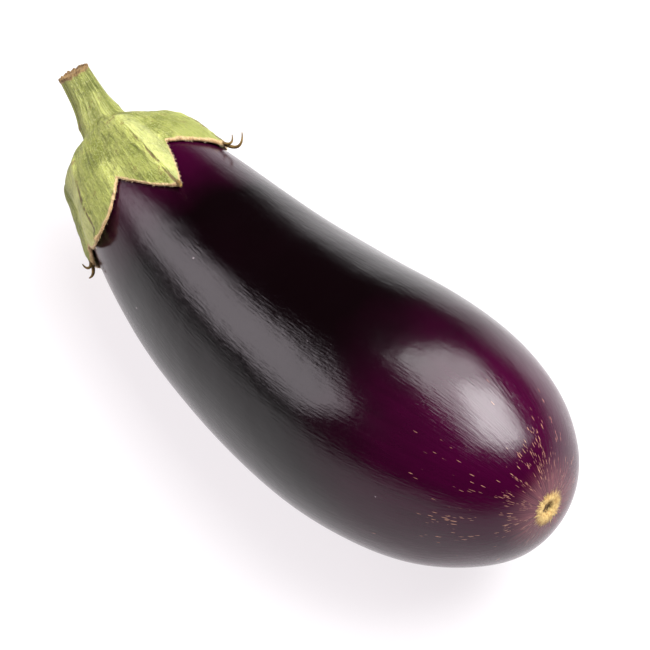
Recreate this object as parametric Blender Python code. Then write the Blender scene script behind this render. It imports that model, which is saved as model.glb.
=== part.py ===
"""Eggplant of the American globe type, as picked: fruit, calyx and stem.

Metres, +Z up.  The fruit lies on its belly.  +X runs along it towards the
blossom end, and the origin is the middle of the small flat that it rests on.
"""
import math

import bpy
import bmesh
import numpy as np

MM = 0.001

# --- fruit ---------------------------------------------------------------
LENGTH = 203.4 * MM          # blossom end to shoulder, along the blossom axis
# mm, profile weights, blossom end first
GIRTH = (105.9, -19.7, 148.0, -72.7, 119.1, -26.4, 94.5)
BEND = 35.3 * MM             # sideways and upward sweep of the neck
BEND_LEAN = 40.0             # degrees from upright that the sweep leans
BEND_POWER = 3.0             # keeps the sweep near the neck
PITCH, YAW = -10.4, -5.25    # degrees, direction of the blossom axis
SWAY = 13 * MM               # slight S curve of the body
SWAY_LEAN = 63.0             # degrees from upright that the S curve leans
BELLY_WIDER = 1.02           # width over height of the cross section
NOSE = 1.4 * MM              # rounding added to the blossom end
FLAT_DEPTH = 0.9 * MM        # how much the belly is pressed flat
RINGS, SEGMENTS = 50, 48

# --- calyx ---------------------------------------------------------------
GAP = 0.3 * MM               # clearance between touching pieces
HOLE = 11.0 * MM             # arc from the pole to the calyx's inner ring
SKIN = 1.1 * MM              # thickness of a lobe at its edge
COLLAR = 2.0 * MM            # extra height of the collar round the stem
COLLAR_SPREAD = 4.5 * MM
KEEL = 1.3 * MM              # height of the fold down the middle of a lobe
# lobes in turn round the neck: bearing of the tip in degrees, its arc from the
# pole and its curl off the fruit, then bearing and arc of the notch after it
LOBES = ((12, 45.5, 0.5, 46, 40.0), (75, 54.0, 1.2, 104, 39.0),
         (132, 53.0, 1.2, 165, 40.0), (213, 47.5, 0.8, 226, 44.0),
         (253, 51.5, 2.4, 286, 40.2), (314, 60.0, 0.6, 330, 38.0))
# swellings: bearing, arc, height, half width in degrees and in mm
BUMPS = ((226, 23.5, 2.6, 16, 5.0), (15, 30.0, 0.3, 12, 5.0))
CALYX_SEGMENTS, CALYX_ROWS = 120, 14

# --- stem ----------------------------------------------------------------
STEM_LENGTH = 23.7 * MM      # from the fruit's shoulder to the cut
STEM_HEADING = (-0.80, 0.07, 0.59)
STEM_RADIUS, STEM_TAPER = 5.2 * MM, 1.3 * MM
STEM_OFFSET, OFFSET_BEARING = 1.0 * MM, math.radians(255)
STEM_FLARE, STEM_FLARE_LENGTH = 2.6 * MM, 8.0 * MM
STEM_RIBS, STEM_RIB_DEPTH = 6, 0.04
STEM_ROWS, STEM_SEGMENTS = 16, 36


def unit(v):
    v = np.asarray(v, float)
    return v / np.linalg.norm(v)


def along(v, w):
    """v made square to the unit vector w."""
    return unit(v - w * (v @ w))


P, Y, LEAN, SWING = (math.radians(a) for a in (PITCH, YAW, BEND_LEAN, SWAY_LEAN))
AXIS = unit((-math.cos(P) * math.cos(Y), math.cos(P) * math.sin(Y), math.sin(P)))
SWEEP = along(np.array([0.0, math.sin(LEAN), math.cos(LEAN)]), AXIS)
SIDE = np.cross(AXIS, SWEEP)
SWAY_WAY = along(np.array([0.0, math.sin(SWING), math.cos(SWING)]), AXIS)


def radius(u):
    n = len(GIRTH) - 1
    w = sum(g * math.comb(n, i) * u ** i * (1 - u) ** (n - i)
            for i, g in enumerate(GIRTH))
    return w * MM * np.sin(math.pi * u)


def station(u):
    """Distance from the blossom end for u from 0 (blossom) to 1 (shoulder)."""
    return LENGTH * (1 - np.cos(math.pi * u)) / 2 - NOSE * np.exp(-(u / 0.06) ** 2)


def spine(u):
    x = station(u)
    s = x / LENGTH
    return (x * AXIS + BEND * s ** BEND_POWER * SWEEP
            + SWAY * s * (1 - s) * (1 - 3 * s) * (1 - 1.4 * s) * SWAY_WAY)


def frame(u):
    """Tangent towards the stem and the two square directions at u."""
    slope = BEND * BEND_POWER * (station(u) / LENGTH) ** (BEND_POWER - 1) / LENGTH
    t = unit(AXIS + slope * SWEEP)
    return t, along(SWEEP, t), SIDE


def fruit_point(u, angle):
    _, n, c = frame(u)
    p = spine(u) + radius(u) * (math.cos(angle) * n + math.sin(angle) * c)
    mid = spine(u)
    p[1] = mid[1] + (p[1] - mid[1]) * BELLY_WIDER
    return p


def fruit_normal(u, angle):
    du, da = 0.002, 0.02
    a = fruit_point(min(u + du, 1.0), angle) - fruit_point(u - du, angle)
    b = fruit_point(u - du, angle + da) - fruit_point(u - du, angle - da)
    return unit(np.cross(b, a))


def lowest():
    """The belly's lowest point, which becomes the middle of the flat."""
    spots = [fruit_point(u, a) for u in np.linspace(0.2, 0.8, 241)
             for a in np.linspace(0, 2 * math.pi, 180, endpoint=False)]
    low = min(spots, key=lambda q: q[2])
    return np.array([low[0], low[1], low[2] + FLAT_DEPTH])


ORIGIN = lowest()

# arc length from the pole along a meridian, used to lay the calyx
ARC_U = np.linspace(1.0, 0.5, 400)
ARC = np.concatenate(([0.0], np.cumsum(np.hypot(np.diff(station(ARC_U)),
                                                np.diff(radius(ARC_U))))))


def shoulder(arc, angle, lift):
    """Point at an arc from the pole, lifted off the skin."""
    u = float(np.interp(arc, ARC, ARC_U))
    if arc < 1e-6:
        return spine(1.0) + frame(1.0)[0] * lift
    return fruit_point(u, angle) + fruit_normal(min(u, 0.995), angle) * lift


def lobe_at(angle):
    """How far across its lobe a bearing is (1 at the tip), and edge numbers."""
    deg = math.degrees(angle) % 360
    for i, (tip, far, curl, high, high_arc) in enumerate(LOBES):
        low, low_arc = LOBES[i - 1][3:]
        off = (deg - tip + 180) % 360 - 180
        left = (tip - low) % 360
        right = (high - tip) % 360
        if -left <= off < right:
            t = 1 + off / left if off < 0 else 1 - off / right
            s = (off + left) / (left + right)
            return t, low_arc + (high_arc - low_arc) * s, far, curl
    raise ValueError(deg)


def reach(angle):
    """Arc from the pole to the calyx's edge."""
    t, notch, far, _ = lobe_at(angle)
    return (notch + (far - notch) * t ** 1.1) * MM


def stand_off(arc, angle):
    """Heights of the calyx's outer and inner faces over the fruit's skin."""
    t, notch, far, curl = lobe_at(angle)
    past = min(1.0, max(0.0, (arc / MM - notch) / (far - notch)))
    crest = max(0.0, (t - past) / (1.0001 - past))
    keel = KEEL * crest * (1 - 0.5 * past) * min(1.0, max(0.0, (arc / MM - 11) / 9))
    collar = COLLAR * math.exp(-((arc - HOLE) / COLLAR_SPREAD) ** 2)
    for bearing, place, height, wide, deep in BUMPS:
        off = (math.degrees(angle) - bearing + 180) % 360 - 180
        keel += height * MM * math.exp(-(off / wide) ** 2
                                       - ((arc / MM - place) / deep) ** 2)
    low = GAP + curl * MM * past ** 2.4
    return low + SKIN + collar + keel, low


def mesh_object(name, verts, faces, colour, roughness, smooth=True):
    mesh = bpy.data.meshes.new(name)
    mesh.from_pydata([tuple(v - ORIGIN) for v in verts], [], faces)
    bm = bmesh.new()
    bm.from_mesh(mesh)
    bmesh.ops.recalc_face_normals(bm, faces=bm.faces)
    bm.to_mesh(mesh)
    bm.free()
    mesh.shade_smooth() if smooth else mesh.shade_flat()
    mat = bpy.data.materials.new(name)
    mat.use_nodes = True
    shader = mat.node_tree.nodes["Principled BSDF"]
    shader.inputs["Base Color"].default_value = (*colour, 1)
    shader.inputs["Roughness"].default_value = roughness
    shader.inputs["Metallic"].default_value = 0.0
    mesh.materials.append(mat)
    obj = bpy.data.objects.new(name, mesh)
    bpy.context.scene.collection.objects.link(obj)
    return obj


def tube_faces(rows, count):
    """Quads between successive rings of count vertices."""
    return [(i * count + j, i * count + (j + 1) % count,
             (i + 1) * count + (j + 1) % count, (i + 1) * count + j)
            for i in range(rows - 1) for j in range(count)]


def make_fruit():
    turns = np.linspace(0, 2 * math.pi, SEGMENTS, endpoint=False)
    stops = np.linspace(0, 1, RINGS + 1)[1:-1]
    verts = [fruit_point(u, a) for u in stops for a in turns]
    faces = tube_faces(len(stops), SEGMENTS)
    for pole, ring in ((0.0, 0), (1.0, len(stops) - 1)):
        verts.append(spine(pole))
        k = len(verts) - 1
        faces += [(ring * SEGMENTS + j, ring * SEGMENTS + (j + 1) % SEGMENTS, k)
                  for j in range(SEGMENTS)]
    fruit = mesh_object("fruit", verts, faces, (0.018, 0.004, 0.012), 0.18)
    bm = bmesh.new()
    bm.from_mesh(fruit.data)
    cut = bmesh.ops.bisect_plane(
        bm, geom=bm.verts[:] + bm.edges[:] + bm.faces[:], dist=1e-6,
        plane_co=(0, 0, 0), plane_no=(0, 0, -1), clear_outer=True)
    rim = [e for e in cut["geom_cut"] if isinstance(e, bmesh.types.BMEdge)]
    bmesh.ops.contextual_create(bm, geom=rim)
    bmesh.ops.recalc_face_normals(bm, faces=bm.faces)
    bm.to_mesh(fruit.data)
    bm.free()
    return fruit


def make_calyx():
    """A star-edged cap: an outer sheet, an inner sheet and two rims."""
    turns = np.linspace(0, 2 * math.pi, CALYX_SEGMENTS, endpoint=False)
    outer, inner = [], []
    for i in range(CALYX_ROWS + 1):
        f = i / CALYX_ROWS
        for a in turns:
            arc = HOLE + (reach(a) - HOLE) * f
            high, low = stand_off(arc, a)
            low += max(0.0, high - low - 2.4 * MM) * min(1, 3 * f)
            outer.append(shoulder(arc, a, high))
            inner.append(shoulder(arc, a, low))
    n, rows = CALYX_SEGMENTS, CALYX_ROWS + 1
    faces = tube_faces(rows, n)
    faces += [tuple(k + rows * n for k in reversed(f)) for f in tube_faces(rows, n)]
    for ring in (0, rows - 1):
        faces += [(ring * n + j, ring * n + (j + 1) % n,
                   (rows + ring) * n + (j + 1) % n, (rows + ring) * n + j)
                  for j in range(n)]
    return mesh_object("calyx", outer + inner, faces, (0.36, 0.46, 0.12), 0.6)


def make_stem():
    """A ribbed stalk from the shoulder to its cut end."""
    start, heading = frame(1.0)[0], unit(STEM_HEADING)
    verts = []
    _, up, side = frame(1.0)
    centre = spine(1.0) + start * (GAP + 0.1 * MM) + STEM_OFFSET * (
        math.cos(OFFSET_BEARING) * up + math.sin(OFFSET_BEARING) * side)
    step = STEM_LENGTH / (STEM_ROWS - 1)
    for i in range(STEM_ROWS):
        f = i / (STEM_ROWS - 1)
        blend = min(1.0, f * 1.6)
        way = unit(start * (1 - blend) + heading * blend)
        across = along(SIDE, way)
        out = np.cross(way, across)
        r = STEM_RADIUS + STEM_TAPER * (1 - f) + STEM_FLARE * math.exp(
            -(f * STEM_LENGTH / STEM_FLARE_LENGTH) ** 2)
        for a in np.linspace(0, 2 * math.pi, STEM_SEGMENTS, endpoint=False):
            rib = 1 + STEM_RIB_DEPTH * math.cos(STEM_RIBS * a) * min(1, f * 2)
            verts.append(centre + r * rib * (math.cos(a) * across + math.sin(a) * out))
        if i < STEM_ROWS - 1:
            centre = centre + way * step
    faces = tube_faces(STEM_ROWS, STEM_SEGMENTS)
    faces.append(tuple(range(STEM_SEGMENTS)))
    faces.append(tuple(range((STEM_ROWS - 1) * STEM_SEGMENTS,
                             STEM_ROWS * STEM_SEGMENTS)))
    return mesh_object("stem", verts, faces, (0.42, 0.52, 0.16), 0.55)


def build():
    for obj in list(bpy.data.objects):
        bpy.data.objects.remove(obj, do_unlink=True)
    make_fruit()
    make_calyx()
    make_stem()


build()
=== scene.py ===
"""A picked globe eggplant: waxy dark skin, green calyx and cut stem.

Laid out as a Blender add-on and run as a script.  Metres, +Z up, in the same
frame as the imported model: the origin is the middle of the flat it rests on.
"""
import math

import bpy
import bmesh
import numpy as np
from bpy.props import FloatProperty, FloatVectorProperty, IntProperty
from bpy.types import Operator, Panel, PropertyGroup
from mathutils import Matrix, Vector


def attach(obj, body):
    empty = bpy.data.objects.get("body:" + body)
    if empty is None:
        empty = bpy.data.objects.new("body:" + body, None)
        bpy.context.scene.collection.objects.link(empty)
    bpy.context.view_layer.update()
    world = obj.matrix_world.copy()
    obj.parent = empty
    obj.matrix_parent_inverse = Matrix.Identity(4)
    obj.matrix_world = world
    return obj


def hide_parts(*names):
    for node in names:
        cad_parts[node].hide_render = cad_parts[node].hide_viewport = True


bl_info = {
    "name": "Eggplant Builder",
    "version": (1, 0, 0),
    "blender": (4, 5, 0),
    "location": "3D View > Sidebar > Eggplant",
    "description": "Builds a picked eggplant with its calyx, stem and a plain stage",
    "category": "Object",
}

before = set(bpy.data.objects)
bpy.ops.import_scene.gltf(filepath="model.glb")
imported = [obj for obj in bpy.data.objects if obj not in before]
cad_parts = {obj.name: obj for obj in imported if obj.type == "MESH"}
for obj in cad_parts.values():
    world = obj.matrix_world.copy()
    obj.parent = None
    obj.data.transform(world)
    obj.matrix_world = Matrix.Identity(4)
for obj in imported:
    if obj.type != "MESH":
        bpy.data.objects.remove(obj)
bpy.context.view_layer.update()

MM = 0.001
TAU = 2 * math.pi

# Sepals in turn round the neck: bearing of the tip in degrees, its arc from the
# stem's pole in mm, how far it lifts off the skin in mm and how blunt it is;
# then the bearing and arc of the notch after it.
SEPALS = (
    (12, 45.5, 0.5, 0.2, 46, 40.0),
    (75, 54.0, 1.2, 0.2, 104, 39.0),
    (132, 53.0, 1.2, 0.2, 165, 40.0),
    (213, 47.5, 0.8, 0.1, 226, 44.0),
    (253, 51.5, 2.4, 1.0, 286, 40.2),
    (314, 60.0, 0.6, 0.25, 330, 38.0),
)
# Swellings of the calyx: bearing, arc, height, half width in degrees and in mm.
BUMPS = (
    (226, 23.5, 2.6, 16, 5.0), (15, 30.0, 0.3, 12, 5.0), (5, 17.0, -1.4, 26, 7.0),
    (238, 14.0, -0.8, 24, 4.0), (248, 46.5, -1.1, 6, 2.2), (18, 39.0, -0.7, 14, 5.0),
    (300, 24.0, -0.7, 16, 6.0), (262, 24.0, -0.4, 14, 7.0), (335, 27.0, -0.4, 9, 6.0),
)


# --------------------------------------------------------------- settings

def metres(name, text, value, least, most):
    return FloatProperty(name=name, description=text, default=value,
                         min=least, max=most, unit="LENGTH")


def number(name, text, value, least, most):
    return FloatProperty(name=name, description=text, default=value,
                         min=least, max=most)


def whole(name, text, value, least, most):
    return IntProperty(name=name, description=text, default=value,
                       min=least, max=most)


def degrees(name, text, value):
    return FloatProperty(name=name, description=text,
                         default=math.radians(value), subtype="ANGLE")


def tone(name, text, value):
    return FloatVectorProperty(name=name, description=text, default=value,
                               size=3, subtype="COLOR")


class FruitSettings(PropertyGroup):
    length: metres("Length", "Blossom end to shoulder", 0.2034, 0.1, 0.3)
    bend: metres("Bend", "How far the neck sweeps off the straight line", 0.0353, 0.0, 0.08)
    bend_lean: degrees("Bend lean", "Angle from upright that the sweep leans", 40.0)
    pitch: degrees("Pitch", "Pitch of the blossom end's axis", -10.4)
    yaw: degrees("Yaw", "Yaw of the blossom end's axis", -5.25)
    sway: metres("Sway", "Slight S curve of the body", 0.013, -0.03, 0.03)
    nose: metres("Nose", "Rounding added to the blossom end", 0.0014, 0.0, 0.005)
    wider: number("Width ratio", "Width of the belly over its height", 1.02, 0.9, 1.2)
    flat_depth: metres(
        "Flat depth", "How deep the belly is pressed flat", 0.0009, 0.0, 0.003)
    rings: whole("Rings", "Rings of faces along the fruit", 230, 40, 300)
    segments: whole("Segments", "Faces round the fruit", 220, 40, 300)
    gloss: number("Roughness", "Roughness of the clean skin", 0.165, 0.02, 0.8)
    deep: tone("Deep skin", "Colour of the darkest skin", (0.0015, 0.0002, 0.0006))
    plum: tone("Plum skin", "Colour of the skin near both ends", (0.032, 0.0004, 0.0145))
    fleck: tone("Flecks", "Colour of the corky flecks", (0.52, 0.26, 0.17))


class CalyxSettings(PropertyGroup):
    skin: metres("Thickness", "Thickness of a sepal near its edge", 0.0010, 0.0005, 0.003)
    collar: metres("Collar", "Extra height round the stem", 0.0004, 0.0, 0.008)
    keel: metres("Keel", "Height of the fold down each sepal", 0.0024, 0.0, 0.006)
    segments: whole("Segments", "Faces round the calyx", 640, 120, 900)
    rows: whole("Rows", "Rows of faces from collar to edge", 72, 20, 120)
    light: tone("Light green", "Colour of the lit green", (0.40, 0.425, 0.10))
    olive: tone("Olive green", "Colour of the darker green", (0.135, 0.155, 0.010))
    tan: tone("Tan edge", "Colour of the dry edge", (0.42, 0.27, 0.12))
    bristles: whole("Bristles", "Number of short hairs along the edge", 900, 0, 4000)
    bristle_length: metres("Bristle length", "Length of the hairs", 0.0008, 0.0002, 0.003)


class StemSettings(PropertyGroup):
    length: metres("Length", "From the shoulder to the cut", 0.0237, 0.01, 0.06)
    radius: metres("Radius", "Radius at the cut", 0.0052, 0.003, 0.01)
    taper: metres("Taper", "Extra radius gained down to the foot", 0.0013, 0.0, 0.005)
    offset: metres("Offset", "How far the stem stands off the pole", 0.0012, 0.0, 0.003)
    flare: metres("Flare", "Extra radius of the foot", 0.0026, 0.0, 0.01)
    flare_length: metres("Flare length", "How far up the flare reaches", 0.008, 0.002, 0.03)
    rib: number("Rib height", "Height of the ribs over the radius", 0.09, 0.0, 0.3)
    heading: FloatVectorProperty(
        name="Heading", description="Direction in which the stem ends",
        default=(-0.80, 0.07, 0.59), size=3, subtype="DIRECTION")
    cork: tone("Cut rim", "Colour of the dry rim of the cut", (0.17, 0.085, 0.025))


class StageSettings(PropertyGroup):
    azimuth: degrees("Azimuth", "Camera's turn round the object", 47.0)
    elevation: degrees("Elevation", "Camera's height over the horizon", 54.0)
    distance: metres("Distance", "Camera to the middle of the view", 0.955, 0.3, 3.0)
    lens: number("Lens", "Focal length on a 36 mm frame", 176.7, 20, 300)
    floor: tone("Floor", "Colour of the floor", (0.20, 0.20, 0.20))


# --------------------------------------------------------------- the form

def unit(v):
    v = np.asarray(v, float)
    return v / np.linalg.norm(v, axis=-1, keepdims=True)


def square(v, w):
    """v made square to the unit vectors w."""
    return unit(v - w * np.sum(v * w, axis=-1, keepdims=True))


SWAY_LEAN = math.radians(63)


class Form:
    """The fruit's shape: a round section swept along a bent spine."""

    girth = (105.9, -19.7, 148.0, -72.7, 119.1, -26.4, 94.5)   # mm, blossom end first
    power = 3.0

    def __init__(self, fruit):
        self.fruit = fruit
        p, y, lean = fruit.pitch, fruit.yaw, fruit.bend_lean
        self.axis = unit((-math.cos(p) * math.cos(y),
                          math.cos(p) * math.sin(y), math.sin(p)))
        self.sweep = square(np.array([0.0, math.sin(lean), math.cos(lean)]), self.axis)
        self.side = np.cross(self.axis, self.sweep)
        self.swing = square(np.array([0.0, math.sin(SWAY_LEAN), math.cos(SWAY_LEAN)]),
                            self.axis)
        self.origin = np.zeros(3)
        spots = self.point(*np.meshgrid(np.linspace(0.2, 0.8, 241),
                                        np.linspace(0, TAU, 180, endpoint=False)))
        low = spots.reshape(-1, 3)[spots[..., 2].argmin()]
        self.origin = low + np.array([0.0, 0.0, fruit.flat_depth])
        self.arc_u = np.linspace(1.0, 0.3, 700)
        self.arc = np.concatenate(([0.0], np.cumsum(np.hypot(
            np.diff(self.station(self.arc_u)), np.diff(self.radius(self.arc_u))))))

    def radius(self, u):
        n = len(self.girth) - 1
        w = sum(g * math.comb(n, i) * u ** i * (1 - u) ** (n - i)
                for i, g in enumerate(self.girth))
        return w * MM * np.sin(math.pi * u)

    def station(self, u):
        blunt = self.fruit.length * (1 - np.cos(math.pi * u)) / 2
        return blunt - self.fruit.nose * np.exp(-(u / 0.06) ** 2)

    def spine(self, u):
        x = self.station(np.asarray(u, float))[..., None]
        s = x / self.fruit.length
        bow = self.fruit.bend * s ** self.power
        sway = self.fruit.sway * s * (1 - s) * (1 - 3 * s) * (1 - 1.4 * s)
        return x * self.axis + bow * self.sweep + sway * self.swing - self.origin

    def frame(self, u):
        """Direction towards the stem, and the two square to it."""
        x = self.station(np.asarray(u, float))[..., None] / self.fruit.length
        slope = self.fruit.bend * self.power * x ** (self.power - 1) / self.fruit.length
        t = unit(self.axis + slope * self.sweep)
        return t, square(self.sweep, t), self.side

    def point(self, u, turn):
        u, turn = np.broadcast_arrays(np.asarray(u, float), turn)
        _, n, c = self.frame(u)
        mid = self.spine(u)
        p = mid + self.radius(u)[..., None] * (
            np.cos(turn)[..., None] * n + np.sin(turn)[..., None] * c)
        p[..., 1] = mid[..., 1] + (p[..., 1] - mid[..., 1]) * self.fruit.wider
        return p

    def normal(self, u, turn):
        du, da = 0.002, 0.02
        u = np.asarray(u, float)
        a = self.point(np.minimum(u + du, 1.0), turn) - self.point(u - du, turn)
        b = self.point(u - du, turn + da) - self.point(u - du, turn - da)
        return unit(np.cross(b, a))

    def shoulder(self, arc, turn, lift):
        """Point at an arc from the stem's pole, lifted off the skin."""
        u = np.interp(arc, self.arc, self.arc_u)
        return self.point(u, turn) + (
            self.normal(np.minimum(u, 0.995), turn) * np.asarray(lift)[..., None])


def ripple(a, b, seed):
    """Smooth uneven wave from -1 to 1 over two coordinates."""
    k = np.random.default_rng(seed).uniform(0, TAU, 5)
    return (np.sin(2.0 * a + 1.3 * b + k[0]) + np.sin(3.0 * a - 2.1 * b + k[1])
            + np.sin(5.0 * a + 2.9 * b + k[2]) * 0.7
            + np.sin(1.0 * a + 4.3 * b + k[3]) * 0.6
            + np.sin(8.0 * a - 1.9 * b + k[4]) * 0.4) / 3.7


def smooth(edge0, edge1, x):
    t = np.clip((x - edge0) / (edge1 - edge0), 0, 1)
    return t * t * (3 - 2 * t)


# ------------------------------------------------------------ mesh making

def ring_faces(rings, count, start=0, flip=False):
    i, j = np.meshgrid(np.arange(rings - 1), np.arange(count), indexing="ij")
    k = (j + 1) % count
    quads = np.stack([i * count + j, i * count + k,
                      (i + 1) * count + k, (i + 1) * count + j], -1).reshape(-1, 4)
    if flip:
        quads = quads[:, ::-1]
    return (quads + start).tolist()


def fan_faces(ring_start, count, pole, flip=False):
    faces = [(ring_start + j, ring_start + (j + 1) % count, pole) for j in range(count)]
    return [f[::-1] for f in faces] if flip else faces


def new_piece(name, verts, faces, material, fields=None):
    """A smooth closed mesh with named point attributes."""
    mesh = bpy.data.meshes.new(name)
    mesh.from_pydata(np.asarray(verts).tolist(), [], faces)
    for key, values in (fields or {}).items():
        values = np.asarray(values, float)
        vector = values.ndim == 2
        layer = mesh.attributes.new(key, "FLOAT_VECTOR" if vector else "FLOAT", "POINT")
        layer.data.foreach_set("vector" if vector else "value", values.ravel())
    bm = bmesh.new()
    bm.from_mesh(mesh)
    bmesh.ops.recalc_face_normals(bm, faces=bm.faces)
    bm.to_mesh(mesh)
    bm.free()
    mesh.shade_smooth()
    mesh.materials.append(material)
    old = bpy.data.objects.get(name)
    if old:
        bpy.data.objects.remove(old, do_unlink=True)
    piece = bpy.data.objects.new(name, mesh)
    bpy.context.scene.collection.objects.link(piece)
    return piece


# ---------------------------------------------------------- shader making

class Wire:
    """A value that varies over a surface; operators add Math nodes."""

    def __init__(self, paint, socket):
        self.paint, self.socket = paint, socket

    def math(self, operation, *others):
        return self.paint.node("ShaderNodeMath", {"operation": operation},
                               dict(enumerate((self, *others))))["Value"]

    def __add__(self, other):
        return self.math("ADD", other)

    def __sub__(self, other):
        return self.math("SUBTRACT", other)

    def __rsub__(self, other):
        return self.paint.node("ShaderNodeMath", {"operation": "SUBTRACT"},
                               {0: other, 1: self})["Value"]

    def __mul__(self, other):
        return self.math("MULTIPLY", other)

    __radd__, __rmul__ = __add__, __mul__

    def step(self, low, high):
        """0 below low, 1 above high, smooth between."""
        return self.paint.node(
            "ShaderNodeMapRange", {"interpolation_type": "SMOOTHSTEP"},
            {"Value": self, "From Min": low, "From Max": high})["Result"]

    def at_least(self, other):
        return self.math("MAXIMUM", other)


class Outputs:
    def __init__(self, paint, node):
        self.paint, self.node = paint, node

    def __getitem__(self, key):
        return Wire(self.paint, self.node.outputs[key])


class Paint:
    """A material's node tree with short ways to add to it."""

    def __init__(self, name, material=None):
        self.material = material or bpy.data.materials.new(name)
        self.material.use_nodes = True
        self.tree = self.material.node_tree
        self.shader = self.tree.nodes["Principled BSDF"]

    def node(self, kind, settings=None, values=None):
        node = self.tree.nodes.new(kind)
        for key, value in (settings or {}).items():
            setattr(node, key, value)
        for key, value in (values or {}).items():
            self.feed(node.inputs[key], value)
        return Outputs(self, node)

    def feed(self, socket, value):
        if isinstance(value, Wire):
            self.tree.links.new(value.socket, socket)
        elif socket.type == "RGBA" and len(value) == 3:
            socket.default_value = (*value, 1)
        else:
            socket.default_value = value

    def field(self, name):
        return self.node("ShaderNodeAttribute", {"attribute_name": name})

    def place(self):
        return self.node("ShaderNodeTexCoord")["Object"]

    def scaled(self, vector, scale):
        return self.node("ShaderNodeVectorMath", {"operation": "MULTIPLY"},
                         {0: vector, 1: scale})["Vector"]

    def noise(self, vector, scale, detail, roughness):
        return self.node("ShaderNodeTexNoise", {}, {
            "Vector": vector, "Scale": scale, "Detail": detail,
            "Roughness": roughness})["Fac"]

    def cells(self, vector, scale):
        """Distance to scattered points, and a random colour for each."""
        return self.node("ShaderNodeTexVoronoi", {"feature": "F1"}, {
            "Vector": vector, "Scale": scale, "Randomness": 1.0})

    def blend(self, factor, a, b):
        return self.node("ShaderNodeMix", {"data_type": "RGBA", "clamp_factor": True},
                         {0: factor, 6: a, 7: b})[2]

    def bump(self, height, distance, after=None):
        values = {"Height": height, "Distance": distance, "Strength": 1.0}
        if after is not None:
            values["Normal"] = after
        return self.node("ShaderNodeBump", {}, values)["Normal"]

    def finish(self, **sockets):
        for key, value in sockets.items():
            self.feed(self.shader.inputs[key.replace("_", " ")], value)
        return self.material


# ------------------------------------------------------------- finishes

def paint_skin(settings):
    """Waxy near-black skin, plum at both ends, with corky flecks and a scar."""
    p = Paint("eggplant skin")
    run = p.field("run")["Vector"]
    turned = p.node("ShaderNodeSeparateXYZ", {}, {"Vector": run})
    along = turned["Z"]
    left = p.field("left")["Fac"]
    place = p.place()

    cloud = p.noise(place, 22, 4, 0.55)
    fine = p.noise(p.scaled(run, (420, 420, 30)), 1, 3, 0.6)
    blossom = 1 - (along + (cloud - 0.5) * 0.06).step(0.026, 0.098)
    neck = 1 - (left + (cloud - 0.5) * 0.035).step(0.044, 0.072)
    plum = blossom.at_least(neck * 0.75) * (fine * 0.6 + 0.65)
    colour = p.blend(plum + (cloud - 0.5) * 0.10, settings.deep, settings.plum)

    rays = p.noise(p.scaled(run, (1000, 1000, 60)), 1, 2, 0.5)
    haze = (1 - along.step(0.0045, 0.019)) * (rays.step(0.36, 0.66) * 0.75 + 0.25)
    colour = p.blend(haze * 0.66, colour, (0.225, 0.062, 0.072))

    streak = p.noise(p.scaled(run, (75, 75, 22)), 1, 2, 0.5)
    near = 1 - along.step(0.009, 0.026)
    mid = 1 - along.step(0.030, 0.085)
    patch = near * 0.10
    for bearing, middle, wide, deep, crowd in FLECK_PATCHES:
        bearing = math.radians(bearing)
        facing = (turned["X"] * math.cos(bearing)
                  + turned["Y"] * math.sin(bearing)) * (1 / FORM_RADIUS)
        away = (along - middle).at_least(middle - along)
        patch = patch + facing.step(math.cos(math.radians(wide)), 1.0) * (
            1 - away.step(deep * 0.3, deep)) * crowd
    knot = p.noise(p.scaled(run, (230, 230, 70)), 1, 2, 0.5).step(0.44, 0.62)
    patch = patch * (knot * 1.25 + 0.10)
    for spread, size, crowd in (
            ((2100, 2100, 330), 0.34, patch + mid * streak.step(0.48, 0.60) * 0.035),
            ((1300, 1300, 240), 0.30, patch * 0.45 + mid * streak.step(0.54, 0.62) * 0.05),
            ((800, 800, 420), 0.22, mid * 0.012)):
        cells = p.cells(p.scaled(run, spread), 1.0)
        pick = p.node("ShaderNodeSeparateColor", {}, {"Color": cells["Color"]})
        fleck = (pick["Red"] + crowd - 1.0).step(0.0, 0.02) * (
            1 - (cells["Distance"] + (rays - 0.5) * 0.25).step(size - 0.14, size))
        colour = p.blend(fleck * (pick["Green"] * 0.55 + 0.4), colour, settings.fleck)

    dots = p.cells(place, 130.0)
    few = p.node("ShaderNodeSeparateColor", {}, {"Color": dots["Color"]})
    dot = (1 - dots["Distance"].step(0.03, 0.055)) * few["Green"].step(0.86, 0.87)
    colour = p.blend(dot * 0.5, colour, (0.35, 0.30, 0.32))

    ragged = along + (rays - 0.5) * 0.0075
    cork = 1 - ragged.step(0.0050, 0.0059)
    grit = p.noise(place, 1100, 3, 0.6)
    corky = p.blend(grit.step(0.3, 0.7), (0.42, 0.24, 0.07), (0.68, 0.50, 0.20))
    colour = p.blend(cork, colour, corky)
    pit = 1 - (along + (grit - 0.5) * 0.0022).step(0.0015, 0.0023)
    colour = p.blend(pit * grit.step(0.34, 0.52), colour, (0.035, 0.016, 0.006))

    rough = cork * 0.5 + (cloud - 0.5) * 0.06 + settings.gloss
    normal = p.bump(p.noise(place, 60, 2, 0.5), 0.00030)
    brushed = p.noise(p.scaled(run, (1500, 1500, 190)), 1, 3, 0.6)
    normal = p.bump(brushed, 0.000070, after=normal)
    normal = p.bump(p.noise(p.scaled(run, (420, 420, 150)), 1, 2, 0.5), 0.00003,
                    after=normal)
    normal = p.bump(p.noise(place, 650, 2, 0.5), 0.000022, after=normal)
    normal = p.bump(cork * grit, 0.00030, after=normal)
    return p.finish(Base_Color=colour, Roughness=rough, Normal=normal, IOR=1.42)


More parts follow.
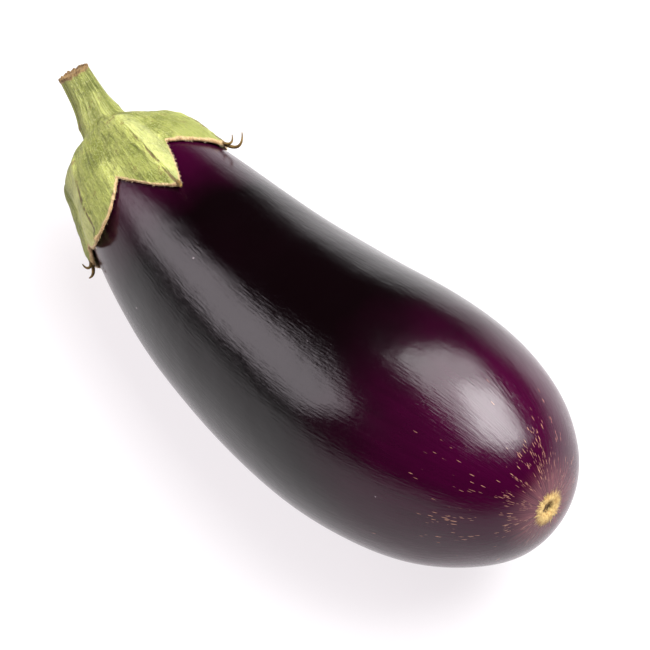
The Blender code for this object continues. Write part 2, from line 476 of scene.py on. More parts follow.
def paint_green(name, calyx, pale=0.0):
    """Fuzzy green of the calyx and stem, with fibres, scuffs, a dry edge, painted light and
    shade on the sepal halves and painted shade in wrinkles and folds.
    """
    p = Paint(name)
    lay = p.field("lay")["Vector"]
    edge = p.field("edge")["Fac"]
    crest = p.field("crest")["Fac"]
    place = p.place()

    cloud = p.noise(place, 105, 5, 0.62)
    fibre = p.noise(p.scaled(lay, (1000, 1000, 80)), 1, 4, 0.6)
    fuzz = p.noise(place, 1500, 2, 0.7)
    green = p.blend((cloud + (fibre - 0.5) * 0.45 + pale).step(0.34, 0.56),
                    calyx.olive, calyx.light)
    arc = p.node("ShaderNodeSeparateXYZ", {}, {"Vector": lay})["Z"]
    wrinkle = p.noise(p.scaled(lay, (230, 230, 95)), 1, 5, 0.62)
    # Painted shade: the troughs of the wrinkles are painted darker green.
    green = p.blend(wrinkle.step(0.52, 0.40) * 0.36, green, (0.12, 0.14, 0.012))
    hollow = (1 - crest.step(0.25, 0.75)) * (
        1 - (arc + (cloud - 0.5) * 0.02).step(0.018, 0.032))
    green = p.blend(hollow * 0.55, green, calyx.olive)
    green = p.blend(fuzz.step(0.45, 0.75) * 0.42, green, (0.56, 0.55, 0.30))
    groove = fibre.step(0.60, 0.70) * p.noise(place, 60, 2, 0.5).step(0.42, 0.58)
    green = p.blend(groove * 0.30, green, (0.075, 0.085, 0.008))
    stalk = 1 - arc.step(-0.004, 0.006)
    rib = p.noise(p.scaled(lay, (330, 330, 14)), 1, 3, 0.55)
    green = p.blend(rib.step(0.53, 0.60) * stalk * 0.42, green, (0.105, 0.125, 0.008))
    green = p.blend(rib.step(0.49, 0.40) * stalk * 0.50, green, (0.54, 0.55, 0.20))
    scuff = p.noise(place, 210, 4, 0.7).step(0.615, 0.665)
    green = p.blend(scuff * 0.6, green, (0.17, 0.075, 0.022))
    # Painted light and shade on the sepals: the half on the lamps' side is painted paler
    # (painted light), the other half darker green (painted shade).
    torn = p.noise(p.scaled(lay, (400, 400, 200)), 1, 3, 0.6)
    half = p.field("half")["Fac"] + (torn - 0.5) * 0.10
    blade = arc.step(0.016, 0.028)
    green = p.blend(half.step(-0.01, 0.05) * (1 - half.step(0.75, 1.0)) * blade * 0.26,
                    green, (0.52, 0.52, 0.25))
    green = p.blend((1 - half.step(-0.20, -0.01)) * half.step(-1.0, -0.6) * blade * (
        cloud.step(0.35, 0.65) * 0.30 + 0.33), green, (0.12, 0.140, 0.012))
    # A thin dark brown line by each sepal's fold on its painted-shaded half: partly brown
    # crease tissue, partly painted shade.
    crease = half.step(-0.075, -0.03) * (1 - half.step(-0.01, 0.025)) * arc.step(
        0.026, 0.034) * torn.step(0.40, 0.55)
    green = p.blend(crease * 0.85, green, (0.085, 0.040, 0.012))

    ragged = edge + (p.noise(place, 420, 4, 0.65) - 0.5) * 0.0026
    dry = 1 - ragged.step(0.0006, 0.0013)
    tan = p.blend(fuzz, calyx.tan, (0.56, 0.41, 0.22))
    colour = p.blend(dry, green, tan)
    rim = 1 - ragged.step(0.00005, 0.0004)
    colour = p.blend(rim * 0.6, colour, (0.22, 0.10, 0.03))

    normal = p.bump(wrinkle, 0.0032)
    normal = p.bump(p.noise(place, 240, 4, 0.6), 0.00070, after=normal)
    normal = p.bump(fibre - crease * 0.6, 0.00060, after=normal)
    normal = p.bump(fuzz, 0.00012, after=normal)
    return p.finish(Base_Color=colour, Roughness=0.55 + fuzz * 0.2, Normal=normal)


def paint_dry(name, light, dark):
    """Dry brown tissue of the hooks, the cut and the hairs."""
    p = Paint(name)
    place = p.place()
    grain = p.noise(place, 700, 3, 0.6)
    colour = p.blend(grain.step(0.3, 0.7), dark, light)
    normal = p.bump(grain, 0.00015)
    return p.finish(Base_Color=colour, Roughness=0.6 + grain * 0.15, Normal=normal)


def paint_floor(colour):
    p = Paint("studio floor")
    return p.finish(Base_Color=tuple(colour), Roughness=0.9, Emission_Color=(1, 0.95, 0.98),
                    Emission_Strength=0.78)


# --------------------------------------------------------- fruit and scar

FORM_RADIUS = 0.040          # nominal radius used for patterns on the skin
# Patches of flecks, seen from the scar: bearing, arc in metres, half width in
# degrees, half length in metres, and how crowded they are.
FLECK_PATCHES = ((332, 0.019, 30, 0.013, 0.60), (288, 0.016, 28, 0.010, 0.45),
                 (244, 0.034, 19, 0.012, 0.42), (242, 0.013, 30, 0.009, 0.45),
                 (278, 0.038, 26, 0.018, 0.08), (60, 0.022, 40, 0.012, 0.30),
                 (160, 0.024, 40, 0.014, 0.30))
SCAR_BEARING, SCAR_OFFSET = math.radians(288), 0.0026
SCAR_RINGS = 34               # close rings of faces under the scar


def scar_frame(arc, turn):
    """Arc and bearing seen from the scar, which stands a little off the pole."""
    fade = SCAR_OFFSET * np.exp(-(arc / 0.022) ** 2)
    x = arc * np.cos(turn) - fade * math.cos(SCAR_BEARING)
    y = arc * np.sin(turn) - fade * math.sin(SCAR_BEARING)
    return np.hypot(x, y), np.arctan2(y, x)


def skin_shape(form, u, turn):
    """Points on the finished skin: form, soft waves, blossom scar and flat."""
    arc, around = scar_frame(skin_arc(form, u), turn)
    wave = (0.30 * MM * ripple(turn, 9 * u, 11) + 0.14 * MM * ripple(2 * turn, 14 * u, 12))
    left = skin_arc(form, 1.0) - skin_arc(form, u)
    wave = wave * smooth(0.010, 0.045, arc) * smooth(0.050, 0.075, left)
    dimple = -0.5 * MM * np.exp(-(arc / 0.0060) ** 2)
    ring = 0.30 * MM * np.exp(-((arc - 0.0036) / 0.0014) ** 2) * (
        1 + 0.35 * ripple(5 * around, arc * 900, 13))
    pit = -0.9 * MM * smooth(0.0026, 0.0014, arc + 0.0004 * ripple(3 * around, 0.0, 14))
    lift = wave + dimple + ring + pit
    p = form.point(u, turn) + form.normal(np.maximum(u, 0.004), turn) * lift[..., None]
    p[..., 2] = np.maximum(p[..., 2], 0.0)
    return p


def skin_arc(form, u):
    """Distance over the skin from the blossom end."""
    us = np.linspace(0, 1, 1200)
    arcs = np.concatenate(([0.0], np.cumsum(
        np.hypot(np.diff(form.station(us)), np.diff(form.radius(us))))))
    return np.interp(u, us, arcs)


def make_skin(fruit):
    form = Form(fruit)
    stops = np.concatenate((np.linspace(0.0008, 0.03, SCAR_RINGS),
                            np.linspace(0.034, 0.998, fruit.rings - SCAR_RINGS)))
    turns = np.linspace(0, TAU, fruit.segments, endpoint=False)
    u, turn = np.meshgrid(stops, turns, indexing="ij")
    rings = skin_shape(form, u, turn).reshape(-1, 3)
    tip = rings[:len(turns)].mean(0)
    verts = np.vstack((rings, tip, form.spine(1.0)))
    arc, around = scar_frame(skin_arc(form, u), turn)
    run = np.stack((FORM_RADIUS * np.cos(around), FORM_RADIUS * np.sin(around), arc), -1)
    whole = skin_arc(form, 1.0)
    middle = (-FORM_RADIUS * math.cos(SCAR_BEARING), -FORM_RADIUS * math.sin(SCAR_BEARING),
              SCAR_OFFSET)
    run = np.vstack((run.reshape(-1, 3), middle, (0, 0, whole)))
    left = np.concatenate(((whole - arc).ravel(), (whole, 0.0)))
    faces = ring_faces(len(stops), len(turns))
    faces += fan_faces(0, len(turns), len(rings), flip=True)
    faces += fan_faces((len(stops) - 1) * len(turns), len(turns), len(rings) + 1)
    piece = new_piece("eggplant_skin", verts, faces, paint_skin(fruit),
                      {"run": run, "left": left})
    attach(piece, "root")
    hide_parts("fruit")
    return piece


# ---------------------------------------------------------- calyx and stem

def sepal_at(turn):
    """For bearings: place across the sepal 0..1, and its edge numbers in mm."""
    turn = np.degrees(np.asarray(turn, float)) % 360
    t, notch, far, lift, blunt = (np.zeros_like(turn) for _ in range(5))
    for i, (tip, reach, curl, round_, high, high_arc) in enumerate(SEPALS):
        low, low_arc = SEPALS[i - 1][4:]
        before, after = (tip - low) % 360, (high - tip) % 360
        off = (turn - tip + 180) % 360 - 180
        here = (off >= -before) & (off < after)
        place = np.where(off < 0, 1 + off / before, 1 - off / after)
        share = (off + before) / (before + after)
        t = np.where(here, place, t)
        notch = np.where(here, low_arc + (high_arc - low_arc) * share, notch)
        far, lift, blunt = (np.where(here, new, old) for new, old in (
            (reach, far), (curl, lift), (round_, blunt)))
    return t, notch, far, lift, blunt


# Painted light on the sepals: 1 paints the half after the tip lit and the half before it
# shaded, -1 the other way round.
PAINTED_LIT_SIDE = (1.0, 1.0, 1.0, -1.0, -1.0, 1.0)     # pale half of each sepal


def sepal_lit_side(turn):
    """1 on the half of a sepal painted lit, -1 on the half painted shaded."""
    turn = np.degrees(np.asarray(turn, float)) % 360
    side = np.ones_like(turn)
    for i, (tip, *_) in enumerate(SEPALS):
        before = (tip - SEPALS[i - 1][4]) % 360
        after = (SEPALS[i][4] - tip) % 360
        side = np.where((tip - turn) % 360 < before, -PAINTED_LIT_SIDE[i], side)
        side = np.where((turn - tip) % 360 < after, PAINTED_LIT_SIDE[i], side)
    return side


def edge_arc(turn):
    """Arc from the pole to the calyx's edge."""
    t, notch, far, _, blunt = sepal_at(turn)
    shape = (1 - blunt) * t ** 1.12 + blunt * np.sin(t * math.pi / 2)
    ragged = 0.25 * ripple(11 * turn, 0.0, 21) + 0.14 * ripple(29 * turn, 0.0, 22)
    return (notch + (far - notch) * shape + ragged) * MM


def sheet_height(calyx, arc, turn):
    """Heights of the calyx's outer and inner face over the skin, and its crest."""
    t, notch, far, lift, _ = sepal_at(turn)
    past = np.clip((arc / MM - notch) / (far - notch), 0, 1)
    crest = np.clip((t - past) / (1.02 - past), 0, 1)
    keel = calyx.keel * (np.sqrt(crest ** 2 + 0.006) - 0.077) * (1 - 0.5 * past)
    keel = keel * smooth(0.010, 0.022, arc)
    for bearing, place, height, wide, deep in BUMPS:
        off = (np.degrees(turn) - bearing + 180) % 360 - 180
        keel = keel + height * MM * np.exp(-(off / wide) ** 2
                                           - ((arc / MM - place) / deep) ** 2)
    collar = calyx.collar * np.exp(-((arc - 0.0093) / 0.0045) ** 2)
    crumple = 0.24 * MM * ripple(4 * turn, arc * 260, 31) + 0.12 * MM * ripple(
        9 * turn, arc * 620, 32)
    lip = 0.3 * MM * np.exp(-((edge_arc(turn) - arc) / 0.0008) ** 2)
    under = 0.25 * MM + lift * MM * past ** 2.4
    return under + calyx.skin + collar + keel + crumple + lip, under, crest


OFFSET_BEARING = math.radians(255)


def stem_ring(form, stem, distance, turn):
    """Centre line and ribbed ring of the stem at a distance up it."""
    start, heading = form.frame(1.0)[0], unit(stem.heading)
    steps = 60
    _, up, side = form.frame(1.0)
    aside = math.cos(OFFSET_BEARING) * up + math.sin(OFFSET_BEARING) * side
    centre = form.spine(1.0) + start * 0.4 * MM + aside * stem.offset
    line, ways = [centre], []
    for i in range(steps):
        blend = min(1.0, (i / steps) * 1.6)
        way = unit(start * (1 - blend) + heading * blend)
        ways.append(way)
        centre = centre + way * stem.length / steps
        line.append(centre)
    ways.append(way)
    f = distance / stem.length * steps
    i = int(min(f, steps - 1))
    mid = line[i] + (line[i + 1] - line[i]) * (f - i)
    way = ways[i]
    n = square(form.sweep, way)
    c = np.cross(way, n)
    radius = (stem.radius + stem.taper * (1 - distance / stem.length)
              + stem.flare * math.exp(-(distance / stem.flare_length) ** 2))
    rib = (sepal_at(turn)[0] ** 1.5 - 0.45) * stem.rib * (1 - 0.35 * distance / stem.length)
    grain = 0.012 * ripple(7 * turn, distance * 90, 41) + 0.008 * ripple(
        17 * turn, distance * 60, 42)
    r = radius * (1 + rib + grain)
    ring = mid + r[:, None] * (np.cos(turn)[:, None] * n + np.sin(turn)[:, None] * c)
    return ring, way


def flare_rings(form, calyx, stem, turn, count):
    """Meridians that carry the cap smoothly up into the stalk."""
    arc0, arc1, foot = 0.0125, 0.0133, 0.0062
    a = form.shoulder(np.full_like(turn, arc0), turn, sheet_height(calyx, arc0, turn)[0])
    b = form.shoulder(np.full_like(turn, arc1), turn, sheet_height(calyx, arc1, turn)[0])
    inward = unit(a - b)
    top, way = stem_ring(form, stem, foot, turn)
    span = np.linalg.norm(top - a, axis=1, keepdims=True)
    p1, p2 = a + inward * span * 0.50, top - way * span * 0.42
    rings = []
    for k in np.linspace(0, 1, count):
        rings.append((1 - k) ** 3 * a + 3 * (1 - k) ** 2 * k * p1
                     + 3 * (1 - k) * k ** 2 * p2 + k ** 3 * top)
    return rings, arc0, foot


CUT_SLANT = np.array((0.38, -0.41, 0.83)) * 0.15
FLARE_RINGS, SEAM = 22, 13      # rings in the flare; where calyx meets stem


def make_calyx(fruit, calyx, stem):
    form = Form(fruit)
    turn = np.linspace(0, TAU, calyx.segments, endpoint=False)
    flare, arc0, _ = flare_rings(form, calyx, stem, turn, FLARE_RINGS)
    edge = edge_arc(turn)
    outer, inner, lay, gap, crest = [], [], [], [], []
    # Painted light: + on each sepal's painted-lit half, - on its painted-shaded half, 0 along
    # the fold and 1 at the notches.
    lit_side_share = (1 - sepal_at(turn)[0]) * sepal_lit_side(turn)

    def note(arc, margin, high):
        lay.append(np.stack((0.03 * np.cos(turn), 0.03 * np.sin(turn),
                             np.broadcast_to(arc, turn.shape)), -1))
        gap.append(np.broadcast_to(margin, turn.shape))
        crest.append(high)

    for k in range(SEAM, 0, -1):
        outer.append(flare[k])
        note(arc0 - k * 0.0005, 0.02, sepal_at(turn)[0])
    fractions = np.linspace(0, 1, calyx.rows) ** 0.9
    for f in fractions:
        arc = arc0 + (edge - arc0) * f
        high, under, top = sheet_height(calyx, arc, turn)
        margin = edge - arc
        high = high - smooth(0.0007, 0.0, margin) * calyx.skin * 0.55
        outer.append(form.shoulder(arc, turn, high))
        note(arc, margin, top)
    for f in np.linspace(1, 0, 16):
        arc = 0.0098 + (edge - 0.0098) * f
        high, under, top = sheet_height(calyx, arc, turn)
        thick = np.minimum(high - under, calyx.skin + 0.6 * MM)
        low = np.where(arc < 0.02, under, np.maximum(under, high - thick))
        low = low + smooth(0.0007, 0.0, edge - arc) * calyx.skin * 0.25
        inner.append(form.shoulder(arc, turn, low))
        note(arc, edge - arc + 0.0002, top)
    rows = outer + inner
    verts = np.concatenate(rows)
    n = len(turn)
    faces = ring_faces(len(rows), n)
    last = (len(rows) - 1) * n
    faces += [(last + j, last + (j + 1) % n, (j + 1) % n, j) for j in range(n)]
    material = paint_green("calyx green", calyx)
    # The "half" attribute carries where the calyx's painted light and painted shade go.
    piece = new_piece("calyx_cap", verts, faces, material, {
        "lay": np.concatenate(lay), "edge": np.concatenate(gap),
        "crest": np.concatenate(crest), "half": np.tile(lit_side_share, len(rows))})
    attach(piece, "root")
    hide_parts("calyx")
    return piece


def make_stem(fruit, calyx, stem):
    form = Form(fruit)
    turn = np.linspace(0, TAU, calyx.segments // 2, endpoint=False)
    flare, _, foot = flare_rings(form, calyx, stem, turn, FLARE_RINGS)
    rings, lay, gap, crest = [], [], [], []
    across = sepal_at(turn)[0]

    def note(height, margin):
        lay.append(np.stack((0.03 * np.cos(turn), 0.03 * np.sin(turn),
                             np.full_like(turn, -height)), -1))
        gap.append(np.full_like(turn, margin))
        crest.append(across)

    buried = flare[SEAM - 3]
    middle = buried.mean(0)
    for shrink in (0.35, 0.8):
        rings.append(middle + (buried - middle) * shrink)
        note(0.002, 0.02)
    for k in range(SEAM - 1, FLARE_RINGS):
        tuck = 0.985 if k == SEAM - 1 else 1.0
        ring = flare[k]
        rings.append(ring.mean(0) + (ring - ring.mean(0)) * tuck)
        note(0.003 + 0.0006 * (k - SEAM), 0.02)
    heights = np.linspace(foot, stem.length, 40)[1:]
    for h in heights:
        ring, way = stem_ring(form, stem, h, turn)
        left = stem.length - h
        mid = ring.mean(0)
        lip = 1 + 0.05 * math.exp(-(left / 0.0009) ** 2)
        ring = mid + (ring - mid) * lip
        rough = 0.00055 * ripple(6 * turn, 0.0, 51) * smooth(0.004, 0.0, left)
        slant = (ring - mid) @ CUT_SLANT * smooth(0.006, 0.0, left)
        rings.append(ring + way * (rough - slant)[:, None])
        note(h, left)
    top, mid = rings[-1], rings[-1].mean(0)
    for shrink, sink in ((0.93, -0.00025), (0.84, 0.0004), (0.6, 0.0006), (0.3, 0.0007)):
        grit = 0.0002 * ripple(5 * turn, shrink * 9, 52)
        rings.append(mid + (top - mid) * shrink - way * (sink + grit[:, None]))
        note(stem.length, -0.001 - (1 - shrink) * 0.01)
    verts = np.vstack(rings + [rings[0].mean(0), rings[-1].mean(0)])
    n = len(turn)
    faces = ring_faces(len(rings), n)
    faces += fan_faces(0, n, len(rings) * n, flip=True)
    faces += fan_faces((len(rings) - 1) * n, n, len(rings) * n + 1)
    material = paint_stem(calyx, stem)
    piece = new_piece("stem_stalk", verts, faces, material, {
        "lay": np.vstack(lay + [np.zeros((2, 3))]),
        "edge": np.concatenate(gap + [np.array([0.02, -0.01])]),
        "crest": np.concatenate(crest + [np.zeros(2)])})
    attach(piece, "root")
    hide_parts("stem")
    return piece


def paint_stem(calyx, stem):
    """The same green, with a corky rim and a pale pith at the cut."""
    material = paint_green("stem green", calyx, 0.10)
    p = Paint("stem green", material)
    edge = p.field("edge")["Fac"]
    grain = p.noise(p.place(), 900, 3, 0.6)
    was = Wire(p, p.shader.inputs["Base Color"].links[0].from_socket)
    rim = 1 - (edge + (grain - 0.5) * 0.0010).step(0.0004, 0.0013)
    pith = 1 - edge.step(-0.0045, -0.0022)
    cork = p.blend(grain.step(0.35, 0.65), stem.cork, (0.38, 0.24, 0.09))
    cork = p.blend(pith * 0.7, cork, (0.55, 0.36, 0.17))
    p.feed(p.shader.inputs["Base Color"], p.blend(rim, was, cork))
    return material


# -------------------------------------------------------- hooks and hairs

def tube(path, radii, sides=10):
    """A closed tapered tube along a short path."""
    path = np.asarray(path, float)
    verts, faces = [], []
    ways = unit(np.gradient(path, axis=0))
    side = square(np.array([0.3, 0.8, 0.5]), ways[0])
    angles = np.linspace(0, TAU, sides, endpoint=False)
    for spot, way, r in zip(path, ways, radii):
        side = square(side, way)
        other = np.cross(way, side)
        verts.extend(spot + r * (math.cos(a) * side + math.sin(a) * other) for a in angles)
    faces = ring_faces(len(path), sides)
    verts += [path[0], path[-1]]
    faces += fan_faces(0, sides, len(verts) - 2, flip=True)
    faces += fan_faces((len(path) - 1) * sides, sides, len(verts) - 1)
    return verts, faces


# Dry hooks at the sepal tips: sepal bearing, bearing offset, and control
# points in millimetres as (forward, outward, sideways).
HOOKS = (
    (12, -3.0, ((-4, 0.2, 0), (1.5, 0.2, 0), (6.0, 0.6, 0.3),
      (6.2, 3.6, 0.6), (3.4, 6.6, 0.4)), 0.50),
    (12, 2.5, ((-4, 0.3, 0), (0.0, 0.3, 0), (2.8, 0.7, -0.3),
      (2.6, 2.6, -0.5), (0.7, 4.3, -0.4)), 0.42),
    (213, -3.0, ((-4, 0.2, 0), (0.8, 0.2, 0), (1.2, 1.8, 0.2),
      (-0.4, 3.0, 0.3), (-2.1, 3.2, 0.3)), 0.42),
    (213, 2.0, ((-4, 0.2, 0), (1.0, 0.2, 0), (2.4, 0.8, 0.0),
      (3.2, 1.8, 0.0), (3.2, 3.0, 0.0)), 0.50),
    (132, 0.0, ((-3, 0.2, 0), (1, 0.6, 0), (2.4, 1.6, 0.4), (2.6, 3.2, 0.8)), 0.45),
    (75, 0.0, ((-3, 0.2, 0), (1.2, 0.5, 0), (2.8, 1.2, -0.4), (3.4, 2.6, -0.6)), 0.45),
    (314, 0.0, ((-2.5, 0.3, 0), (0.2, 0.8, 0.1), (1.2, 1.3, 0.5), (1.6, 2.0, 1.0)), 0.60),
)


def bezier(points, count):
    points = np.asarray(points, float)
    n = len(points) - 1
    t = np.linspace(0, 1, count)[:, None]
    return sum(math.comb(n, i) * t ** i * (1 - t) ** (n - i) * points[i]
               for i in range(n + 1))


def make_hooks(fruit, calyx):
    form = Form(fruit)
    verts, faces = [], []
    for bearing, offset, points, thick in HOOKS:
        turn = np.array([math.radians(bearing + offset)])
        tip = np.array([math.radians(bearing)])
        arc = edge_arc(tip)
        high, under, _ = sheet_height(calyx, arc, tip)
        base = form.shoulder(arc, tip, (high + under) / 2)[0]
        back = form.shoulder(arc - 0.002, tip, (high + under) / 2)[0]
        forward = unit(base - back)
        outward = square(form.normal(np.interp(arc, form.arc, form.arc_u), tip)[0], forward)
        side = np.cross(forward, outward)
        spread = math.sin(math.radians(offset)) * 0.012
        path = base + side * spread + MM * (
            bezier(points, 22) @ np.stack((forward, outward, side)))
        radii = 1.25 * thick * MM * (1 - 0.7 * np.linspace(0, 1, 22) ** 2.5)
        v, f = tube(path, radii)
        faces += [tuple(k + len(verts) for k in face) for face in f]
        verts += list(v)
    material = paint_dry("dry hook", (0.20, 0.12, 0.022), (0.085, 0.045, 0.008))
    piece = new_piece("calyx_hooks", verts, faces, material)
    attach(piece, "root")
    return piece


def hair_tree():
    """Geometry Nodes: short tapered hairs scattered over a surface."""
    tree = bpy.data.node_groups.new("edge hairs", "GeometryNodeTree")
    face = tree.interface
    face.new_socket("Geometry", in_out="INPUT", socket_type="NodeSocketGeometry")
    for name, kind, value in (("Density", "NodeSocketFloat", 1000.0),
                              ("Length", "NodeSocketFloat", 0.0008),
                              ("Thickness", "NodeSocketFloat", 0.00008),
                              ("Seed", "NodeSocketInt", 7)):
        face.new_socket(name, in_out="INPUT", socket_type=kind).default_value = value
    face.new_socket("Material", in_out="INPUT", socket_type="NodeSocketMaterial")
    face.new_socket("Geometry", in_out="OUTPUT", socket_type="NodeSocketGeometry")
    add, link = tree.nodes.new, tree.links.new
    given, result = add("NodeGroupInput"), add("NodeGroupOutput")
    scatter = add("GeometryNodeDistributePointsOnFaces")
    hair = add("GeometryNodeMeshCone")
    hair.inputs["Vertices"].default_value = 4
    hair.inputs["Side Segments"].default_value = 2
    place = add("GeometryNodeInstanceOnPoints")
    size, lean = add("FunctionNodeRandomValue"), add("FunctionNodeRandomValue")
    for chance, least, most in ((size, (0.8, 0.8, 0.5), (1.2, 1.2, 1.3)),
                                (lean, (-0.6, -0.6, -3.0), (0.6, 0.6, 3.0))):
        chance.data_type = "FLOAT_VECTOR"
        chance.inputs[0].default_value = least
        chance.inputs[1].default_value = most
    tilt = add("GeometryNodeRotateInstances")
    tilt.inputs["Local Space"].default_value = True
    real, coat = add("GeometryNodeRealizeInstances"), add("GeometryNodeSetMaterial")
    link(given.outputs["Geometry"], scatter.inputs["Mesh"])
    link(given.outputs["Density"], scatter.inputs["Density"])
    link(given.outputs["Seed"], scatter.inputs["Seed"])
    link(given.outputs["Length"], hair.inputs["Depth"])
    link(given.outputs["Thickness"], hair.inputs["Radius Bottom"])
    link(scatter.outputs["Points"], place.inputs["Points"])
    link(scatter.outputs["Rotation"], place.inputs["Rotation"])
    link(hair.outputs["Mesh"], place.inputs["Instance"])
    link(size.outputs[0], place.inputs["Scale"])
    link(given.outputs["Seed"], size.inputs["Seed"])
    link(given.outputs["Seed"], lean.inputs["Seed"])
    link(place.outputs["Instances"], tilt.inputs["Instances"])
    link(lean.outputs[0], tilt.inputs["Rotation"])
    link(tilt.outputs["Instances"], real.inputs["Geometry"])
    link(real.outputs["Geometry"], coat.inputs["Geometry"])
    link(given.outputs["Material"], coat.inputs["Material"])
    link(coat.outputs["Geometry"], result.inputs["Geometry"])
    return tree


def grow_hairs(name, host, settings, material):
    """Run the hair tree on a host mesh and keep the result as a plain mesh."""
    tree = hair_tree()
    modifier = host.modifiers.new("hairs", "NODES")
    modifier.node_group = tree
    for item in tree.interface.items_tree:
        if item.in_out == "INPUT" and item.name in settings:
            modifier[item.identifier] = settings[item.name]
        elif item.in_out == "INPUT" and item.name == "Material":
            modifier[item.identifier] = material
    bpy.context.view_layer.update()
    graph = bpy.context.evaluated_depsgraph_get()
    mesh = bpy.data.meshes.new_from_object(host.evaluated_get(graph))
    host.modifiers.remove(modifier)
    bpy.data.objects.remove(host, do_unlink=True)
    mesh.name = name
    piece = bpy.data.objects.new(name, mesh)
    bpy.context.scene.collection.objects.link(piece)
    return piece


def make_bristles(fruit, calyx):
    """Hairs that stand out from the dry edge of the calyx."""
    form = Form(fruit)
    turn = np.linspace(0, TAU, calyx.segments * 2, endpoint=False)
    edge = edge_arc(turn)
    rows = []
    for back, share in ((0.0010, 1.0), (0.0, 0.75), (0.0, 0.25)):
        arc = edge - back
        high, under, _ = sheet_height(calyx, arc, turn)
        high = high - smooth(0.0007, 0.0, edge - arc) * calyx.skin * 0.55
        rows.append(form.shoulder(arc, turn, under + (high - under) * share))
    faces = ring_faces(3, len(turn))
    material = paint_dry("pale hair", (0.78, 0.66, 0.42), (0.55, 0.40, 0.20))
    host = new_piece("hair_host", np.concatenate(rows), faces, material)
    area = sum(f.area for f in host.data.polygons)
    piece = grow_hairs("calyx_bristles", host, {
        "Density": calyx.bristles / area, "Length": calyx.bristle_length,
        "Thickness": 0.00007, "Seed": 7}, material)
    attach(piece, "root")
    return piece


# ------------------------------------------------------------------ stage

LIGHT_AIM = Vector((0.0, 0.0, 0.04))        # middle of the fruit's height


def soft_light(name, direction, distance, size, power,
               tint=(1.0, 1.0, 1.0)):
    """A rectangular soft box that faces the object from a direction."""
    light = bpy.data.lights.new(name, "AREA")
    light.shape = "RECTANGLE"
    light.size, light.size_y = size
    light.energy, light.color = power, tint
    lamp = bpy.data.objects.new(name, light)
    way = Vector(direction).normalized()
    turn = way.to_track_quat("Z", "Y").to_matrix().to_4x4()
    lamp.matrix_world = Matrix.Translation(LIGHT_AIM + way * distance) @ turn
    bpy.context.scene.collection.objects.link(lamp)
    return lamp


def make_stage(fruit, stage):
    scene = bpy.context.scene
    half = 4.0
    floor = new_piece("studio_floor",
                      [(-half, -half, 0), (half, -half, 0), (half, half, 0), (-half, half, 0),
                       (-half, -half, -0.02), (half, -half, -0.02), (half, half, -0.02),
                       (-half, half, -0.02)],
                      [(0, 1, 2, 3), (4, 7, 6, 5), (0, 4, 5, 1), (1, 5, 6, 2),
                       (2, 6, 7, 3), (3, 7, 4, 0)], paint_floor(stage.floor))
    floor.data.shade_flat()

    soft_light("key_soft", (0.105, 0.393, 0.914), 1.2, (1.35, 1.15), 32.0)
    soft_light("key_core", (0.28, 0.42, 0.86), 1.15, (0.72, 0.60), 13.5)
    soft_light("left_card", (-0.654, -0.568, 0.50), 1.5, (1.10, 0.70), 10.6,
               tint=(1.0, 0.90, 0.965))
    fill = soft_light("fill", (-0.35, -0.65, 0.67), 1.6, (2.2, 2.2), 10.0)
    fill.visible_glossy = False

    world = bpy.data.worlds.new("studio")
    scene.world = world
    world.use_nodes = True
    nodes, links = world.node_tree.nodes, world.node_tree.links
    backdrop = nodes["Background"]
    where = nodes.new("ShaderNodeTexCoord")
    split = nodes.new("ShaderNodeSeparateXYZ")
    ramp = nodes.new("ShaderNodeValToRGB")
    links.new(where.outputs["Generated"], split.inputs["Vector"])
    links.new(split.outputs["Z"], ramp.inputs["Fac"])
    links.new(ramp.outputs["Color"], backdrop.inputs["Color"])
    low, high = ramp.color_ramp.elements
    low.position, low.color = 0.02, (1.0, 1.0, 1.0, 1)
    high.position, high.color = 0.14, (0.012, 0.012, 0.012, 1)
    backdrop.inputs["Strength"].default_value = 1.0

    a, e = stage.azimuth, stage.elevation
    back = np.array((math.sin(a) * math.cos(e), -math.cos(a) * math.cos(e), math.sin(e)))
    right = np.array((math.cos(a), math.sin(a), 0.0))
    up = np.cross(back, right)
    aim = -Form(fruit).origin - right * 0.0672 + up * 0.0549
    camera = bpy.data.cameras.new("camera")
    camera.sensor_width, camera.lens = 36.0, stage.lens
    camera.clip_start, camera.clip_end = 0.02, 50.0
    eye = bpy.data.objects.new("camera", camera)
    eye.matrix_world = Matrix((
        (right[0], up[0], back[0], 0), (right[1], up[1], back[1], 0),
        (right[2], up[2], back[2], 0), (0, 0, 0, 1)))
    eye.location = Vector(aim + back * stage.distance)
    scene.collection.objects.link(eye)
    scene.camera = eye
    scene.view_settings.view_transform = "Standard"


# --------------------------------------------------------------- add-on

class EGGPLANT_OT_skin(Operator):
    """Make the fruit's skin with its scar"""
    bl_idname = "eggplant.make_skin"
    bl_label = "Make Skin"

    def execute(self, context):
        make_skin(context.scene.eggplant_fruit)
        return {"FINISHED"}


class EGGPLANT_OT_calyx(Operator):
    """Make the green star-edged calyx"""
    bl_idname = "eggplant.make_calyx"
    bl_label = "Make Calyx"

    def execute(self, context):
        scene = context.scene
        make_calyx(scene.eggplant_fruit, scene.eggplant_calyx, scene.eggplant_stem)
        return {"FINISHED"}


class EGGPLANT_OT_stem(Operator):
    """Make the ribbed stem with its corky cut"""
    bl_idname = "eggplant.make_stem"
    bl_label = "Make Stem"

    def execute(self, context):
        scene = context.scene
        make_stem(scene.eggplant_fruit, scene.eggplant_calyx, scene.eggplant_stem)
        return {"FINISHED"}


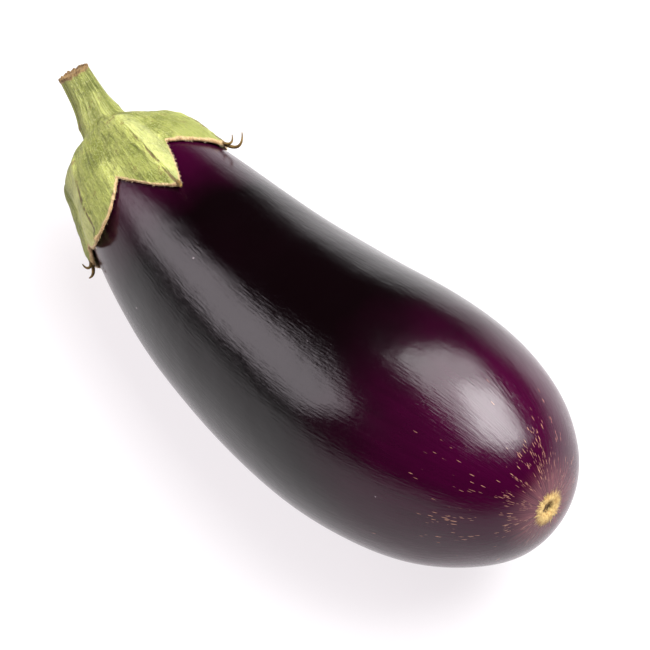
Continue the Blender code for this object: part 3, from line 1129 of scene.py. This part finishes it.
class EGGPLANT_OT_trim(Operator):
    """Make the dry hooks and the hairs of the calyx's edge"""
    bl_idname = "eggplant.make_trim"
    bl_label = "Make Hooks and Hairs"

    def execute(self, context):
        scene = context.scene
        make_hooks(scene.eggplant_fruit, scene.eggplant_calyx)
        make_bristles(scene.eggplant_fruit, scene.eggplant_calyx)
        return {"FINISHED"}


class EGGPLANT_OT_stage(Operator):
    """Make the floor, the soft lights and the camera"""
    bl_idname = "eggplant.make_stage"
    bl_label = "Make Stage"

    def execute(self, context):
        make_stage(context.scene.eggplant_fruit, context.scene.eggplant_stage)
        return {"FINISHED"}


class EGGPLANT_PT_panel(Panel):
    """Sizes and colours of the eggplant"""
    bl_idname = "EGGPLANT_PT_panel"
    bl_label = "Eggplant"
    bl_space_type = "VIEW_3D"
    bl_region_type = "UI"
    bl_category = "Eggplant"

    def draw(self, context):
        for group, operators in PANEL_ROWS:
            box = self.layout.box()
            settings = getattr(context.scene, group)
            for key in settings.__annotations__:
                box.prop(settings, key)
            for name in operators:
                box.operator(name)


PANEL_ROWS = (
    ("eggplant_fruit", ("eggplant.make_skin",)),
    ("eggplant_calyx", ("eggplant.make_calyx", "eggplant.make_trim")),
    ("eggplant_stem", ("eggplant.make_stem",)),
    ("eggplant_stage", ("eggplant.make_stage",)),
)
GROUPS = {"eggplant_fruit": FruitSettings, "eggplant_calyx": CalyxSettings,
          "eggplant_stem": StemSettings, "eggplant_stage": StageSettings}
CLASSES = (*GROUPS.values(), EGGPLANT_OT_skin, EGGPLANT_OT_calyx, EGGPLANT_OT_stem,
           EGGPLANT_OT_trim, EGGPLANT_OT_stage, EGGPLANT_PT_panel)


def register():
    for cls in CLASSES:
        bpy.utils.register_class(cls)
    for key, group in GROUPS.items():
        setattr(bpy.types.Scene, key, bpy.props.PointerProperty(type=group))


def unregister():
    for key in GROUPS:
        delattr(bpy.types.Scene, key)
    for cls in reversed(CLASSES):
        bpy.utils.unregister_class(cls)


def main():
    register()
    for make in (bpy.ops.eggplant.make_skin, bpy.ops.eggplant.make_calyx,
                 bpy.ops.eggplant.make_stem, bpy.ops.eggplant.make_trim,
                 bpy.ops.eggplant.make_stage):
        make()


if __name__ == "__main__":
    main()
